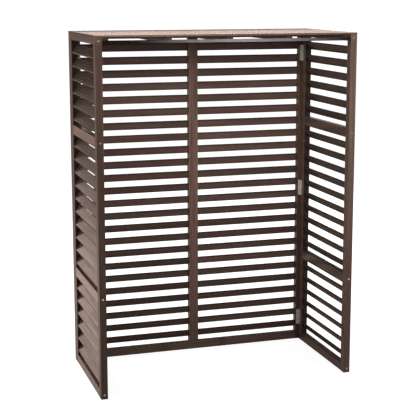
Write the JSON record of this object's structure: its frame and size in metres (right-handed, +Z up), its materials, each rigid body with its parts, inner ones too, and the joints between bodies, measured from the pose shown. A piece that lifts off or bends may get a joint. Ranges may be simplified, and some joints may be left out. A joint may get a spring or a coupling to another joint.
{
  "type": "air conditioner screen",
  "caption": "Dark-stained timber louvre screen with folding side panels and a lift-off boarded lid, for standing round an outdoor air conditioner unit.",
  "frame": {"origin": "bottom centre of the bounding box, on the ground under the middle of the screen", "axes": "+X to the right as seen by a person in front of the louvres, +Y to the open back and the house wall, +Z up"},
  "size_m": [1.09, 0.54, 1.45],
  "materials": {
    "frame_timber": "dark brown stain, satin",
    "slat_timber": "dark brown stain, satin",
    "board_timber": "dark brown stain, satin",
    "hinge_steel": "satin stainless",
    "screw_steel": "zinc plated, semi-bright",
    "tie_bar_metal": "grey-brown satin coat"
  },
  "bodies": {
    "front_panel": {"front_bottom_rail": "frame_timber", "front_frame_screws": "screw_steel", "front_leaf_screws": "screw_steel", "front_slats_left": "slat_timber", "front_slats_right": "slat_timber", "front_stile_centre": "frame_timber", "front_stile_left": "frame_timber", "front_stile_right": "frame_timber", "front_top_rail": "frame_timber", "hinge_pins": "hinge_steel", "left_lower_hinge_front_leaf": "hinge_steel", "left_middle_hinge_front_leaf": "hinge_steel", "left_upper_hinge_front_leaf": "hinge_steel", "right_lower_hinge_front_leaf": "hinge_steel", "right_middle_hinge_front_leaf": "hinge_steel", "right_upper_hinge_front_leaf": "hinge_steel"},
    "left_panel": {"left_bottom_rail": "frame_timber", "left_frame_screws": "screw_steel", "left_front_stile": "frame_timber", "left_lower_hinge_side_leaf": "hinge_steel", "left_lower_mid_rail": "frame_timber", "left_middle_hinge_side_leaf": "hinge_steel", "left_rear_stile": "frame_timber", "left_side_leaf_screws": "screw_steel", "left_slats_lower": "slat_timber", "left_slats_middle": "slat_timber", "left_slats_upper": "slat_timber", "left_upper_hinge_side_leaf": "hinge_steel", "left_upper_mid_rail": "frame_timber"},
    "right_panel": {"right_bottom_rail": "frame_timber", "right_frame_screws": "screw_steel", "right_front_stile": "frame_timber", "right_lower_hinge_side_leaf": "hinge_steel", "right_lower_mid_rail": "frame_timber", "right_middle_hinge_side_leaf": "hinge_steel", "right_rear_stile": "frame_timber", "right_side_leaf_screws": "screw_steel", "right_slats_lower": "slat_timber", "right_slats_middle": "slat_timber", "right_slats_upper": "slat_timber", "right_upper_hinge_side_leaf": "hinge_steel", "right_upper_mid_rail": "frame_timber"},
    "lid": {"lid_batten_1": "frame_timber", "lid_batten_2": "frame_timber", "lid_batten_3": "frame_timber", "lid_batten_4": "frame_timber", "lid_batten_5": "frame_timber", "lid_batten_screws": "screw_steel", "lid_board_1": "board_timber", "lid_board_2": "board_timber", "lid_board_3": "board_timber", "lid_board_4": "board_timber", "lid_board_5": "board_timber", "lid_board_6": "board_timber", "lid_corner_block_left": "frame_timber", "lid_corner_block_right": "frame_timber", "lid_corner_screws": "screw_steel", "lid_rim_left": "frame_timber", "lid_rim_right": "frame_timber", "lid_tie_bar": "tie_bar_metal"}
  },
  "joints": [
    {"name": "left_fold", "type": "hinge", "parent": "front_panel", "child": "left_panel", "pos_m": [-0.5138, -0.2388, 0], "axis": [0, 0, -1], "range_deg": [0, 90]},
    {"name": "right_fold", "type": "hinge", "parent": "front_panel", "child": "right_panel", "pos_m": [0.5138, -0.2388, 0], "axis": [0, 0, 1], "range_deg": [0, 90]},
    {"name": "lid_lift", "type": "slide", "parent": "front_panel", "child": "lid", "axis": [0, 0, 1], "range_m": [0, 0.15]}
  ]
}
